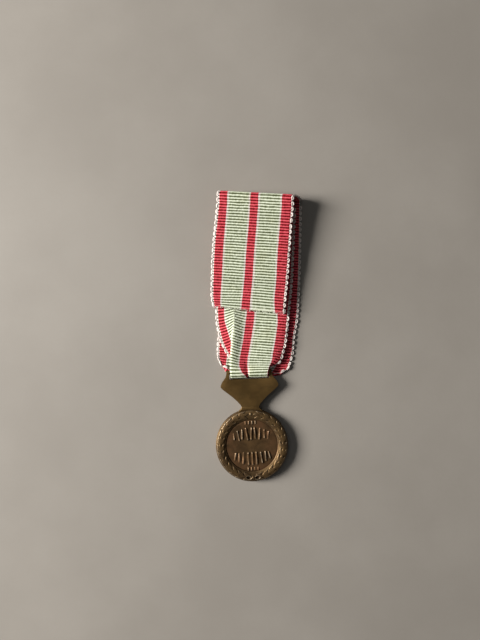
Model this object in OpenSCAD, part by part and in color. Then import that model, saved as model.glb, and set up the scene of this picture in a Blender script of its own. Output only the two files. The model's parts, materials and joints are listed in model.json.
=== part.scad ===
// Miniature service medal on its folded grosgrain ribbon.
// The medal lies on its obverse: reverse face up (+Z), ribbon running up +Y.
// Origin: middle of the footprint, on the surface it lies on.

/* [Medal disc] */
// Diameter of the struck disc
disc_d = 14; // [12:0.5:18]
// Overall thickness, obverse rim to garland crest
disc_t = 1.8; // [1.6:0.1:2.4]
// Width of the flat obverse rim
rim_w = 0.5; // [0.3:0.1:0.8]
// Depth of the sunk fields below rim and garland
field_depth = 0.35; // [0.2:0.05:0.45]
// Width of the raised laurel garland on the reverse
garland_w = 1.7; // [1.2:0.1:2]

/* [Suspension plate] */
// Sheet thickness of the plate, and diameter of its top bar
plate_t = 0.8; // [0.7:0.05:1]
// Width across the two ears
ear_w = 11.2; // [10.5:0.1:13]
// Width of the straight top edge
top_w = 8.7; // [8.4:0.1:9.4]
// Width of the neck that meets the disc
neck_w = 3.4; // [2.6:0.1:4.5]
// Width of the ribbon slot
slot_w = 7.7; // [7.5:0.1:7.9]
// Height of the ribbon slot
slot_h = 0.95; // [0.85:0.05:1.2]

/* [Ribbon] */
// Width of the woven ribbon
ribbon_w = 15; // [14:0.5:17]
// Cloth thickness
cloth_t = 0.36; // [0.3:0.02:0.4]
// Width of the ribbon where it is gathered through the slot
gather_w = 7.2; // [6:0.1:7.3]
// Length of the front layer above the slot bar
front_len = 34.4; // [32:0.2:40]
// Length of the free tail below the top fold
tail_len = 22.2; // [18:0.2:23]
// Height of the top fold's crease above the table
fold_h = 3.85; // [3:0.05:4.5]
// Height of the tail's middle at its cut end
tail_end_h = 1.8; // [1.75:0.05:2.1]
// Sideways lean of the ribbon from the medal's own axis, degrees
lean = 5.5; // [0:0.5:8]

/* [Stitching] */
// Number of hidden tacking stitches
stitch_n = 5; // [3:1:7]
// Thickness of the thread
thread_d = 0.2; // [0.15:0.05:0.3]

/* [Hidden] */
$fn = 64;

disc_r = disc_d / 2;
field_top = disc_t - 0.2 - field_depth;      // reverse field
neck_y = disc_r + 0.55;                      // top of the brazed neck
ear_y = disc_r + 4.65;                       // height of the ear tips
bar_r = plate_t / 2;
slot_y0 = disc_r + 5.9;                      // lower edge of the slot
bar_y = slot_y0 + slot_h + bar_r;            // centre of the bar
top_y = bar_y + bar_r;
zb = 0.95;                                   // mid plane of the plate
run_c = 0.04;                                // running clearance on the bar
loop_t = 0.3;                                // gathered cloth round the bar
ri = bar_r + run_c;
ro = ri + loop_t;
g = gather_w / 2;
g_y = 1.1;                                   // the gather keeps clear of the plate's arms up to here

// Plan position on a strip that leans to +X, measured from the bar:
// c = where its middle line crosses the bar, a = across, b = along
function rp(c, a, b) = [c + a * cos(lean) + b * sin(lean), -a * sin(lean) + b * cos(lean)];

front_c = 1.1;                               // front layer sits this far to +X
back_c = 0.05;                               // back layer is centred on the slot
tail_c = -0.5;                               // tail sits this far to -X
hw = ribbon_w / 2;
tail_hw = hw - 0.15;
crease_b = front_len - 0.55;                 // hinge line of the tail, along the strip
back_end = front_len - 2.4;                  // hidden inner end of the back layer
tail_drop = asin((fold_h - tail_end_h) / tail_len);

// Middle of the footprint, which becomes the origin
corner_r = rp(front_c, hw, front_len);
corner_l = rp(tail_c, -tail_hw, crease_b - tail_len * cos(tail_drop));
corner_t = rp(front_c, -hw, front_len);
x_hi = max(corner_r[0], disc_r);
x_lo = min(corner_l[0], -disc_r);
y_hi = bar_y + corner_t[1];
y_lo = -disc_r;
org = [-(x_hi + x_lo) / 2, -(y_hi + y_lo) / 2, 0];

module at_disc() { translate(org) children(); }
module at_bar() { translate(org) translate([0, bar_y, 0]) children(); }

// ---- struck bronze disc ----
module disc_profile() {
    polygon([[0, field_depth], [disc_r - 0.15 - rim_w - 0.15, field_depth],
             [disc_r - 0.15 - rim_w, 0], [disc_r - 0.15, 0], [disc_r, 0.15],
             [disc_r, disc_t - 0.45], [disc_r - 0.12, disc_t - 0.33], [disc_r - garland_w * 0.75, disc_t - 0.4],
             [disc_r - garland_w - 0.1, field_top], [0, field_top]]);
    translate([disc_r - 0.05 - garland_w / 2, disc_t - garland_w / 2]) circle(r = garland_w / 2);
}

module star(r1, r2, n) {
    polygon([for (i = [0 : 2 * n - 1]) let (r = i % 2 == 0 ? r1 : r2, t = 90 + i * 180 / n) [r * cos(t), r * sin(t)]]);
}

// upright raised bar, used in place of any wording
module relief_bar(x, y0, y1, w) {
    translate([x - w / 2, y0, 0]) cube([w, y1 - y0, 0.2]);
}

module medal_disc() {
    color([0.34, 0.26, 0.16]) at_disc() union() {
        rotate_extrude() disc_profile();
        // obverse: plain star
        translate([0, 0, 0.1]) linear_extrude(field_depth - 0.05) star(4.6, 1.9, 5);
        // reverse: two bands of upright bars, arched outwards, and a short row above and below them
        translate([0, 0, field_top - 0.05]) {
            for (i = [-4 : 4]) let (x = i * 0.84, bow = 1 - pow(x / 3.9, 2)) {
                relief_bar(x, 1.15, 2.2 + 1.3 * bow, 0.34);
                relief_bar(x, -2.3 - 1.5 * bow, -1.3, 0.34);
            }
            for (i = [-1.5 : 1 : 1.5]) {
                relief_bar(i * 0.64, 4.1, 4.75, 0.24);
                relief_bar(i * 0.64, -4.85, -4.25, 0.24);
            }
        }
        // berry at the top and the tie's two loops at the bottom
        translate([0, disc_r - 0.05 - garland_w / 2, disc_t - 0.3]) sphere(r = 0.4, $fn = 24);
        for (s = [-1, 1]) translate([s * 0.75, -(disc_r - 0.05 - garland_w / 2), disc_t - 0.45]) sphere(r = 0.5, $fn = 24);
    }
}

// ---- suspension plate with its ribbon slot and bar ----
module plate_outline() {
    e = ear_w / 2;
    t = top_w / 2;
    n = neck_w / 2;
    union() {
        polygon([[-n, neck_y], [n, neck_y], [n + 0.22, neck_y + 0.45], [n + 0.9, neck_y + 1.2],
                 [n + 1.72, neck_y + 2.0], [e - 1.4, neck_y + 2.65], [e - 0.72, neck_y + 3.2], [e - 0.2, ear_y - 0.45],
                 [e - 0.1, ear_y + 0.3], [e - 0.3, ear_y + 0.75], [e - 0.62, ear_y + 1.15], [t + 0.22, bar_y - 0.9], [t, bar_y],
                 [-t, bar_y], [-t - 0.22, bar_y - 0.9], [-e + 0.62, ear_y + 1.15], [-e + 0.3, ear_y + 0.75], [-e + 0.1, ear_y + 0.3],
                 [-e + 0.2, ear_y - 0.45], [-e + 0.72, neck_y + 3.2], [-e + 1.4, neck_y + 2.65],
                 [-n - 1.72, neck_y + 2.0], [-n - 0.9, neck_y + 1.2], [-n - 0.22, neck_y + 0.45]]);
        for (s = [-1, 1]) translate([s * (e - 0.5), ear_y]) circle(r = 0.5, $fn = 32);
    }
}

module suspension_plate() {
    color([0.32, 0.25, 0.14]) at_disc() difference() {
        union() {
            translate([0, 0, zb - plate_t / 2]) linear_extrude(plate_t) difference() {
                plate_outline();
                translate([-slot_w / 2, slot_y0]) square([slot_w, 10]);
            }
            translate([-top_w / 2, bar_y, zb]) rotate([0, 90, 0]) cylinder(h = top_w, r = bar_r);
        }
    }
}

// ---- brazed neck between plate and disc ----
module braze_fillet() {
    n = neck_w / 2;
    color([0.38, 0.3, 0.17]) at_disc() translate([0, 0, zb - plate_t / 2]) linear_extrude(plate_t) difference() {
        polygon([[-n, neck_y], [n, neck_y], [n + 0.06, neck_y - 0.3], [n + 0.22, neck_y - 0.55], [n + 0.6, neck_y - 0.8],
                 [n + 0.6, neck_y - 1.9], [-n - 0.6, neck_y - 1.9], [-n - 0.6, neck_y - 0.8], [-n - 0.22, neck_y - 0.55], [-n - 0.06, neck_y - 0.3]]);
        circle(r = disc_r);
    }
}

// ---- ribbon layers: a plan outline met by a side profile ----
module layer(plan, side) {
    intersection() {
        translate([0, 0, -1]) linear_extrude(8) polygon(plan);
        translate([-20, 0, 0]) rotate([90, 0, 90]) linear_extrude(40) polygon(side);
    }
}

function gather_plan(c, w, b0, b1) = concat([[-g, 0], [g, 0], [g, g_y]],
    [rp(c, w, b0), rp(c, w, b1), rp(c, -w, b1), rp(c, -w, b0)], [[-g, g_y]]);

// front layer, flat on the table, drawn in under the bar
module ribbon_front() {
    z0 = zb - ro;
    color([0.75, 0.78, 0.62]) at_bar()
        layer(gather_plan(front_c, hw, 3.4, front_len),
              [[0, z0], [1.3, z0], [2.8, 0], [60, 0], [60, cloth_t], [2.8, cloth_t], [1.3, z0 + loop_t], [0, z0 + loop_t]]);
}

// half turn of gathered cloth round the bar, through the slot
module ribbon_slot_loop() {
    color([0.7, 0.35, 0.33]) at_bar() translate([-g, 0, zb]) rotate([90, 0, 90]) difference() {
        cylinder(h = gather_w, r = ro);
        translate([0, 0, -1]) cylinder(h = gather_w + 2, r = ri);
        translate([0, -5, -1]) cube([10, 10, gather_w + 2]);
    }
}

// back layer, from the bar up to its sewn inner end
module ribbon_back_return() {
    z1 = zb + ri;
    color([0.8, 0.8, 0.66]) at_bar()
        layer(gather_plan(back_c, hw - 0.1, 4.6, back_end),
              [[0, z1], [1.3, z1], [5.5, 0.85], [14, 0.85], [24, cloth_t], [60, cloth_t],
               [60, 2 * cloth_t], [24, 2 * cloth_t], [14, 0.85 + cloth_t], [5.5, 0.85 + cloth_t], [1.3, z1 + loop_t], [0, z1 + loop_t]]);
}

module at_crease() {
    at_bar() translate([rp(tail_c, 0, crease_b)[0], rp(tail_c, 0, crease_b)[1], fold_h]) rotate([0, 0, -lean]) children();
}

// standing leg of the top fold, leaning sideways from front layer to tail
module ribbon_top_fold() {
    shift = front_c - tail_c;
    top = -cloth_t / 2 - 0.03;
    low = cloth_t - fold_h;
    color([0.7, 0.72, 0.56]) at_crease() translate([0, cloth_t / 2, 0]) rotate([90, 0, 0]) linear_extrude(cloth_t)
        polygon([[-tail_hw + shift, low], [tail_hw + shift, low], [tail_hw, top], [-tail_hw, top]]);
}

// free tail: rounded at the crease, cut square at its end
module ribbon_tail() {
    color([0.84, 0.85, 0.7]) at_crease() rotate([tail_drop, 0, 0]) union() {
        translate([-tail_hw, 0, 0]) rotate([0, 90, 0]) cylinder(h = 2 * tail_hw, r = cloth_t / 2);
        translate([-tail_hw, -tail_len, -cloth_t / 2]) cube([2 * tail_hw, tail_len, cloth_t]);
    }
}

// whip stitches over the sewn end of the back layer
module tacking_stitches() {
    pitch = 2.4;
    color([0.9, 0.88, 0.8]) at_bar() for (i = [0 : stitch_n - 1])
        let (a = (i - (stitch_n - 1) / 2) * pitch, p = rp(back_c, a, back_end))
        translate([p[0], p[1], cloth_t]) rotate([0, 0, -lean]) {
            translate([-thread_d / 2, 0, 0]) cube([thread_d, thread_d, cloth_t + thread_d]);
            translate([-thread_d / 2, -0.8, cloth_t]) cube([thread_d, 0.8, thread_d]);
        }
}

medal_disc();
suspension_plate();
braze_fillet();
ribbon_front();
ribbon_slot_loop();
ribbon_back_return();
ribbon_top_fold();
ribbon_tail();
tacking_stitches();
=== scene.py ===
"""Miniature service medal on a folded ribbon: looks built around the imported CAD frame.

Every length in this file is in millimetres until make_mesh() writes it in metres.
"""

import json
import math

import bmesh
import bpy
import numpy as np
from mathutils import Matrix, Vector


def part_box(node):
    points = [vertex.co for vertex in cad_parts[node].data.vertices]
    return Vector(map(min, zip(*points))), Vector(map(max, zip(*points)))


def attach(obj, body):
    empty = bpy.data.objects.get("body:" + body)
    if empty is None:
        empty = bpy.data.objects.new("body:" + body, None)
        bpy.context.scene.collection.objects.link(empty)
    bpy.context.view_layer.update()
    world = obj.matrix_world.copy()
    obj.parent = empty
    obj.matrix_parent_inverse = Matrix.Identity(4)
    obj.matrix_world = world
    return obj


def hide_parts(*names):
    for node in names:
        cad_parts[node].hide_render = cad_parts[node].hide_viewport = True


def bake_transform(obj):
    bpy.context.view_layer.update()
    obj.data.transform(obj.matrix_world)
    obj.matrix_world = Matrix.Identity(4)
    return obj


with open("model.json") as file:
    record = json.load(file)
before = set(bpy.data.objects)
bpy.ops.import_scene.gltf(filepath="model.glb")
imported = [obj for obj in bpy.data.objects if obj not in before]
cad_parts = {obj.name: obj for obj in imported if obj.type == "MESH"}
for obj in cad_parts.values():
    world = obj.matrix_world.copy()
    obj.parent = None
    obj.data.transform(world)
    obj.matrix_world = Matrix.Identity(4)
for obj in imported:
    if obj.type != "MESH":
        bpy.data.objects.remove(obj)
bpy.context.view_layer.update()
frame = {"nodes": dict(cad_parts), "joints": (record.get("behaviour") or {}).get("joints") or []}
RNG = np.random.default_rng(7)
MM = 0.001

JOINTS = {j["name"]: j for j in frame["joints"]}
BAR = np.array(JOINTS["medal_swing"]["pos_m"]) / MM
CREASE = np.array(JOINTS["tail_lift"]["pos_m"]) / MM
d_lo, d_hi = (np.array(v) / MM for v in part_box("medal_disc"))
DISC = np.array([(d_lo[0] + d_hi[0]) / 2, (d_lo[1] + d_hi[1]) / 2, 0.0])
DISC_R = (d_hi[0] - d_lo[0]) / 2
DISC_T = d_hi[2]


# ---------------------------------------------------------------- meshes
def make_mesh(name, verts, faces, attrs=None, flat=None):
    """verts in mm, faces as index rows; attrs are per-vertex floats; flat are the indices of faces that stay flat."""
    mesh = bpy.data.meshes.new(name)
    mesh.from_pydata((np.asarray(verts, float) * MM).tolist(), [], [list(map(int, f)) for f in faces])
    mesh.update()
    smooth = np.ones(len(mesh.polygons), bool)
    if flat is not None:
        smooth[np.asarray(flat, int)] = False
    mesh.polygons.foreach_set("use_smooth", smooth)
    for key, values in (attrs or {}).items():
        a = mesh.attributes.new(key, "FLOAT", "POINT")
        a.data.foreach_set("value", np.asarray(values, np.float32).ravel())
    obj = bpy.data.objects.new(name, mesh)
    bpy.context.collection.objects.link(obj)
    return obj


class Parts:
    """Collects many small tubes into one mesh."""

    def __init__(self):
        self.v, self.f, self.a, self.n = [], [], {}, 0

    def tube(self, path, radius, sides=6, closed=False, attrs=None):
        """A round tube along path (n, 3); radius is a number or one value a point; open ends are domed shut."""
        path = np.asarray(path, float)
        n = len(path)
        radius = np.broadcast_to(np.asarray(radius, float), (n,))
        if closed:
            tan = np.roll(path, -1, 0) - np.roll(path, 1, 0)
        else:
            tan = np.gradient(path, axis=0)
        tan /= np.linalg.norm(tan, axis=1)[:, None] + 1e-12
        ref = np.array([0.0, 0.0, 1.0]) if abs(tan[0][2]) < 0.9 else np.array([1.0, 0.0, 0.0])
        u = np.cross(tan[0], ref)
        u /= np.linalg.norm(u)
        us = []
        for k in range(n):
            u = u - tan[k] * (u @ tan[k])
            u /= np.linalg.norm(u) + 1e-12
            us.append(u)
        us = np.array(us)
        ws = np.cross(tan, us)
        if closed:  # spread the frame's leftover twist along the ring
            end = us[-1] - tan[0] * (us[-1] @ tan[0])
            twist = math.atan2(end @ ws[0], end @ us[0])
            turn = -twist * np.arange(n) / n
            us, ws = (
                us * np.cos(turn)[:, None] + ws * np.sin(turn)[:, None],
                -us * np.sin(turn)[:, None] + ws * np.cos(turn)[:, None],
            )
        ang = np.arange(sides) * 2 * math.pi / sides
        ring = (
            path[:, None, :]
            + radius[:, None, None] * (us[:, None, :] * np.cos(ang)[None, :, None] + ws[:, None, :] * np.sin(ang)[None, :, None])
        )
        base = self.n
        verts = ring.reshape(-1, 3)
        faces = []
        for k in range(n if closed else n - 1):
            k2 = (k + 1) % n
            for j in range(sides):
                j2 = (j + 1) % sides
                faces.append((base + k * sides + j, base + k * sides + j2, base + k2 * sides + j2, base + k2 * sides + j))
        if not closed:
            tips = np.array([path[0] - tan[0] * radius[0] * 0.6, path[-1] + tan[-1] * radius[-1] * 0.6])
            a, b = base + len(verts), base + len(verts) + 1
            for j in range(sides):
                j2 = (j + 1) % sides
                faces.append((a, base + j2, base + j))
                faces.append((b, base + (n - 1) * sides + j, base + (n - 1) * sides + j2))
            verts = np.vstack([verts, tips])
        self.v.append(verts)
        self.f.extend(faces)
        for key, val in (attrs or {}).items():
            self.a.setdefault(key, []).append(np.full(len(verts), float(val)))
        self.n += len(verts)

    def make(self, name):
        return make_mesh(name, np.vstack(self.v), self.f, {k: np.concatenate(v) for k, v in self.a.items()})


def smoothstep(a, b, x):
    t = np.clip((x - a) / (b - a), 0, 1)
    return t * t * (3 - 2 * t)


def hermite(x, y, m, q):
    i = np.clip(np.searchsorted(x, q, side="right") - 1, 0, len(x) - 2)
    h = (x[i + 1] - x[i])[:, None]
    t = ((q - x[i])[:, None]) / h
    return (
        (2 * t**3 - 3 * t**2 + 1) * y[i]
        + (t**3 - 2 * t**2 + t) * h * m[i]
        + (-2 * t**3 + 3 * t**2) * y[i + 1]
        + (t**3 - t**2) * h * m[i + 1]
    )


def across(x, y, q):
    """Shape-keeping cubic through stations x (n,) with values y (n, k), read at q."""
    x, y, q = np.asarray(x, float), np.asarray(y, float), np.asarray(q, float)
    h = np.diff(x)[:, None]
    d = np.diff(y, axis=0) / h
    m = np.zeros_like(y)
    w1, w2 = 2 * h[1:] + h[:-1], h[1:] + 2 * h[:-1]
    same = d[:-1] * d[1:] > 0
    with np.errstate(divide="ignore", invalid="ignore"):
        mid = (w1 + w2) / (w1 / d[:-1] + w2 / d[1:])
    m[1:-1] = np.where(same, mid, 0)
    m[0], m[-1] = d[0], d[-1]
    return hermite(x, y, m, q)


def along(x, y, q):
    """Smooth cubic through rows y (n, k) at knots x, read at q."""
    h = np.diff(x)[:, None]
    d = np.diff(y, axis=0) / h
    m = np.empty_like(y)
    m[1:-1] = (d[1:] * h[:-1] + d[:-1] * h[1:]) / (h[1:] + h[:-1])
    m[0], m[-1] = d[0], d[-1]
    return hermite(x, y, m, q)


# ---------------------------------------------------------------- the ribbon's strip
# Stations across the strip, from its middle line, and rows of points along it. A point is (x, y, z):
# x and y from the middle of the bar, z from the table. The strip runs from its hidden sewn end down the
# back layer, round the bar, up the front layer, over the top fold and down the tail to its cut end.
TN = [-7.5, -6.85, -5.31, -3.4, -3.1, -2.8, -0.89, -0.2, 0.57, 1.1, 5.05, 5.5, 6.91, 7.5]
TAIL = [
    [(-4.54,34.54,3.82), (-4.02,34.49,3.82), (-2.59,34.36,3.82), (-0.69,34.18,3.82), (-0.39,34.15,3.82), (-0.09,34.12,3.82), (1.81,33.94,3.82), (2.49,33.88,3.82), (3.24,33.81,3.82), (3.77,33.76,3.82), (7.71,33.39,3.82), (8.15,33.35,3.82), (9.51,33.22,3.82), (10.1,33.17,3.82)],
    [(-4.87,32.39,3.62), (-4.32,32.33,3.62), (-2.87,32.2,3.62), (-0.99,32.02,3.62), (-0.69,31.99,3.62), (-0.39,31.97,3.62), (1.5,31.79,3.62), (2.19,31.72,3.62), (2.97,31.65,3.62), (3.5,31.6,3.62), (7.45,31.23,3.62), (7.89,31.19,3.62), (9.26,31.06,3.62), (9.9,31,3.62)],
    [(-5.36,29.66,3.35), (-4.72,29.6,3.35), (-3.24,29.46,3.35), (-1.32,29.28,3.35), (-1.02,29.25,3.35), (-0.72,29.22,3.35), (1.2,29.03,3.35), (1.88,28.96,3.35), (2.63,28.89,3.35), (3.16,28.84,3.35), (7.09,28.47,3.35), (7.53,28.42,3.35), (8.92,28.29,3.35), (9.51,28.23,3.35)],
    [(-6.1,24.16,2.8), (-5.54,24.1,2.8), (-3.97,23.94,2.8), (-2.05,23.75,2.8), (-1.75,23.71,2.8), (-1.45,23.68,2.8), (0.46,23.49,2.8), (1.15,23.42,2.8), (1.92,23.34,2.8), (2.45,23.29,2.8), (6.41,22.88,2.8), (6.88,22.83,2.8), (8.34,22.68,2.8), (8.9,22.63,2.8)],
    [(-6.61,18.55,2.3), (-6.04,18.49,2.3), (-4.51,18.33,2.3), (-2.63,18.13,2.3), (-2.34,18.1,2.3), (-2.05,18.06,2.3), (-0.17,17.86,2.3), (0.53,17.78,2.3), (1.32,17.7,2.3), (1.86,17.64,2.3), (5.9,17.21,2.3), (6.34,17.17,2.3), (7.73,17.02,2.3), (8.27,16.96,2.3)],
    [(-6.78,14.45,1.98), (-6.23,14.39,1.98), (-4.94,14.28,2), (-3.13,14.14,2), (-2.85,14.12,2), (-2.56,14.1,2), (-0.76,13.97,2), (-0.03,13.88,2), (0.78,13.79,2), (1.33,13.72,2), (5.43,13.17,1.98), (5.85,13.11,1.97), (7.17,12.94,1.95), (7.79,12.84,1.93)],
    [(-6.47,13.02,1.8), (-6.04,12.92,1.84), (-5.01,12.8,1.88), (-3.29,12.51,1.89), (-3.02,12.47,1.89), (-2.75,12.42,1.89), (-1.03,12.13,1.9), (-0.28,12.01,1.89), (0.56,11.87,1.88), (1.14,11.79,1.88), (5.49,11.2,1.85), (5.85,11.16,1.84), (6.99,11.03,1.8), (7.57,11,1.76)],
]
BACK = [
    [(-4.49,33,0.56), (-3.83,32.94,0.56), (-2.29,32.78,0.56), (-0.36,32.59,0.56), (-0.06,32.56,0.56), (0.24,32.53,0.56), (2.16,32.33,0.56), (2.85,32.26,0.56), (3.63,32.18,0.56), (4.16,32.13,0.56), (8.13,31.73,0.56), (8.59,31.68,0.56), (10,31.54,0.56), (10.6,31.48,0.56)],
    [(-5.18,24.42,0.66), (-4.52,24.35,0.66), (-2.98,24.19,0.66), (-1.06,24,0.66), (-0.75,23.97,0.66), (-0.45,23.94,0.66), (1.47,23.75,0.66), (2.16,23.68,0.66), (2.93,23.6,0.66), (3.46,23.55,0.66), (7.43,23.14,0.66), (7.88,23.1,0.66), (9.3,22.95,0.66), (9.89,22.89,0.66)],
    [(-5.8,17.59,0.86), (-5.15,17.53,0.86), (-3.61,17.37,0.86), (-1.69,17.18,0.86), (-1.39,17.15,0.86), (-1.09,17.12,0.86), (0.82,16.92,0.86), (1.51,16.85,0.86), (2.29,16.78,0.86), (2.82,16.73,0.86), (6.78,16.32,0.86), (7.23,16.28,0.86), (8.64,16.13,0.86), (9.23,16.07,0.86)],
    [(-6.36,11.29,0.78), (-5.54,11.33,0.82), (-4.36,11.44,0.95), (-2.79,11.79,1.22), (-2.43,11.88,1.26), (-2.09,11.78,1.22), (0.03,11.33,1.05), (0.72,11.28,1.05), (1.5,11.23,1.05), (2.03,11.17,1.05), (5.99,10.69,1.06), (6.4,10.63,1.06), (7.81,10.46,1.03), (8.48,10.39,1)],
    [(-6.4,9.89,0.74), (-5.52,9.93,0.8), (-4.3,10.11,0.95), (-2.79,10.67,1.34), (-2.46,10.79,1.4), (-2.13,10.68,1.34), (-0.16,10.09,1.08), (0.55,10.04,1.08), (1.34,9.99,1.08), (1.89,9.93,1.08), (5.96,9.45,1.1), (6.36,9.39,1.1), (7.66,9.22,1.04), (8.38,9.15,1)],
    [(-5.98,7.73,0.72), (-5.2,7.85,0.78), (-3.84,8.22,0.95), (-2.75,8.86,1.36), (-2.59,8.96,1.5), (-2.29,8.79,1.46), (-0.51,8.13,1.14), (0.19,8.07,1.13), (0.98,8,1.12), (1.53,7.94,1.12), (5.66,7.48,1.16), (6.08,7.42,1.15), (7.4,7.25,1.05), (8.15,7.17,0.96)],
    [(-5.36,5.6,0.74), (-4.68,5.77,0.8), (-3.29,6.29,0.95), (-2.88,6.79,1.22), (-3.01,6.88,1.5), (-2.68,6.76,1.58), (-0.89,6.16,1.22), (-0.2,6.1,1.2), (0.58,6.04,1.18), (1.13,5.98,1.19), (5.26,5.52,1.26), (5.68,5.46,1.24), (7.01,5.28,1.08), (7.76,5.19,0.95)],
    [(-4.45,3.7,0.82), (-3.85,3.87,0.86), (-2.6,4.32,1), (-2.58,4.72,1.15), (-3.22,4.95,1.45), (-2.95,4.84,1.64), (-1.34,4.25,1.34), (-0.64,4.18,1.3), (0.15,4.1,1.26), (0.7,4.04,1.28), (4.8,3.57,1.4), (5.24,3.51,1.36), (6.46,3.28,1.1), (7.13,3.17,0.92)],
    [(-3.5,2.14,0.95), (-2.95,2.24,1), (-1.94,2.43,1.1), (-2.39,2.69,1.2), (-3.48,2.91,1.45), (-3.19,2.83,1.74), (-1.74,2.36,1.52), (-1.03,2.3,1.44), (-0.24,2.23,1.36), (0.31,2.19,1.39), (4.41,1.86,1.58), (4.76,1.79,1.5), (5.56,1.5,1.12), (6.15,1.36,0.9)],
    [(-3.12,1.01,1.15), (-2.54,1.08,1.18), (-1.56,1.23,1.25), (-2.35,1.42,1.32), (-3.61,1.61,1.52), (-3.32,1.56,1.8), (-1.8,1.27,1.66), (-1.0,1.2,1.55), (-0.3,1.12,1.36), (0.2,1.09,1.44), (3.92,0.92,1.7), (4.0,0.84,1.45), (3.82,0.62,1.12), (3.74,0.54,1.0)],
]
FRONT = [
    [(-3.93,0.96,0.55), (-4.04,0.68,0.55), (-4.46,0.19,0.4), (-4.37,0.02,0.28), (-4.24,-0.06,0.2), (-3.79,-0.12,0.16), (-1.53,0.1,0.16), (-0.88,0.09,0.17), (-0.15,0.08,0.18), (0.41,-0.05,0.18), (3.9,-0.9,0.18), (4.5,-1.1,0.24), (5.9,-0.6,0.5), (5.89,-0.05,0.56)],
    [(-5.1,1.58,0.52), (-5.08,1.26,0.46), (-4.55,0.8,0.32), (-4.25,0.69,0.2), (-3.98,0.67,0.18), (-3.66,0.7,0.17), (-1.64,1.05,0.17), (-0.95,1.04,0.17), (-0.19,1.03,0.18), (0.47,0.89,0.18), (4.7,-0.1,0.18), (5.4,-0.3,0.22), (7.2,-0.05,0.44), (7.53,0.54,0.52)],
    [(-5.92,2.77,0.36), (-5.54,2.56,0.32), (-4.35,2.24,0.24), (-3.4,2.18,0.18), (-3.13,2.17,0.18), (-2.85,2.16,0.18), (-1.17,2.17,0.18), (-0.5,2.14,0.18), (0.25,2.11,0.18), (0.93,1.99,0.18), (5.5,1.15,0.18), (6.1,1.05,0.2), (7.75,1,0.26), (8.4,1.39,0.34)],
    [(-6.17,4.37,0.3), (-5.61,4.28,0.26), (-4,4.14,0.2), (-2.74,4.04,0.18), (-2.42,4,0.18), (-2.11,3.97,0.18), (-0.67,3.79,0.18), (0.02,3.73,0.18), (0.78,3.67,0.18), (1.47,3.6,0.18), (6.61,3.1,0.18), (7.04,3.04,0.18), (8.38,2.94,0.2), (8.97,2.92,0.24)],
    [(-5.92,7.18,0.19), (-5.26,7.12,0.19), (-3.69,6.98,0.19), (-1.74,6.8,0.19), (-1.44,6.77,0.19), (-1.13,6.74,0.19), (0.82,6.56,0.19), (1.52,6.5,0.19), (2.3,6.43,0.19), (2.84,6.38,0.19), (6.87,6.01,0.19), (7.33,5.96,0.19), (8.77,5.83,0.19), (9.37,5.78,0.19)],
    [(-5.07,11.09,0.19), (-4.41,11.03,0.19), (-2.84,10.88,0.19), (-0.9,10.7,0.19), (-0.6,10.67,0.19), (-0.29,10.64,0.19), (1.65,10.46,0.19), (2.35,10.39,0.19), (3.13,10.32,0.19), (3.67,10.27,0.19), (7.69,9.89,0.19), (8.14,9.84,0.19), (9.58,9.71,0.19), (10.18,9.65,0.19)],
    [(-4.45,16.57,0.19), (-3.79,16.51,0.19), (-2.23,16.36,0.19), (-0.3,16.17,0.19), (0,16.14,0.19), (0.31,16.11,0.19), (2.24,15.93,0.19), (2.93,15.86,0.19), (3.71,15.79,0.19), (4.25,15.74,0.19), (8.24,15.35,0.19), (8.7,15.31,0.19), (10.12,15.17,0.19), (10.72,15.11,0.19)],
    [(-3.79,24.4,0.19), (-3.13,24.33,0.19), (-1.58,24.18,0.19), (0.34,24,0.19), (0.64,23.97,0.19), (0.94,23.94,0.19), (2.86,23.75,0.19), (3.55,23.68,0.19), (4.33,23.61,0.19), (4.86,23.56,0.19), (8.84,23.17,0.19), (9.29,23.13,0.19), (10.71,22.99,0.19), (11.3,22.93,0.19)],
    [(-3.32,31.24,0.19), (-2.67,31.18,0.19), (-1.13,31.03,0.19), (0.78,30.85,0.19), (1.08,30.82,0.19), (1.38,30.79,0.19), (3.29,30.6,0.19), (3.98,30.53,0.19), (4.75,30.46,0.19), (5.28,30.41,0.19), (9.24,30.02,0.19), (9.69,29.98,0.19), (11.1,29.84,0.19), (11.69,29.79,0.19)],
    [(-3.12,34.08,0.19), (-2.48,34.02,0.19), (-0.94,33.87,0.19), (0.97,33.68,0.19), (1.27,33.65,0.19), (1.57,33.63,0.19), (3.47,33.44,0.19), (4.16,33.37,0.19), (4.93,33.3,0.19), (5.46,33.25,0.19), (9.4,32.86,0.19), (9.85,32.82,0.19), (11.26,32.68,0.19), (11.85,32.63,0.19)],
]

PITCH = 0.53            # one weft rib
PER = 5                 # mesh rows a rib
HALF_GAP, HALF_RIB = 0.04, 0.165   # half thickness between ribs and on a rib
EDGE = 7.02             # half width of the woven cloth; the picot loops stand outside it

TS = np.array(TN)
tail_rows = [np.array(r, float) for r in TAIL]
back_rows = [np.array(r, float) for r in BACK]
front_rows = [np.array(r, float) for r in FRONT]


def bar_row(angle, radius, x):
    a, r = math.radians(angle), np.array(radius, float)
    return np.stack([np.array(x, float), r * math.cos(a), BAR[2] + r * math.sin(a)], 1)


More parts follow.
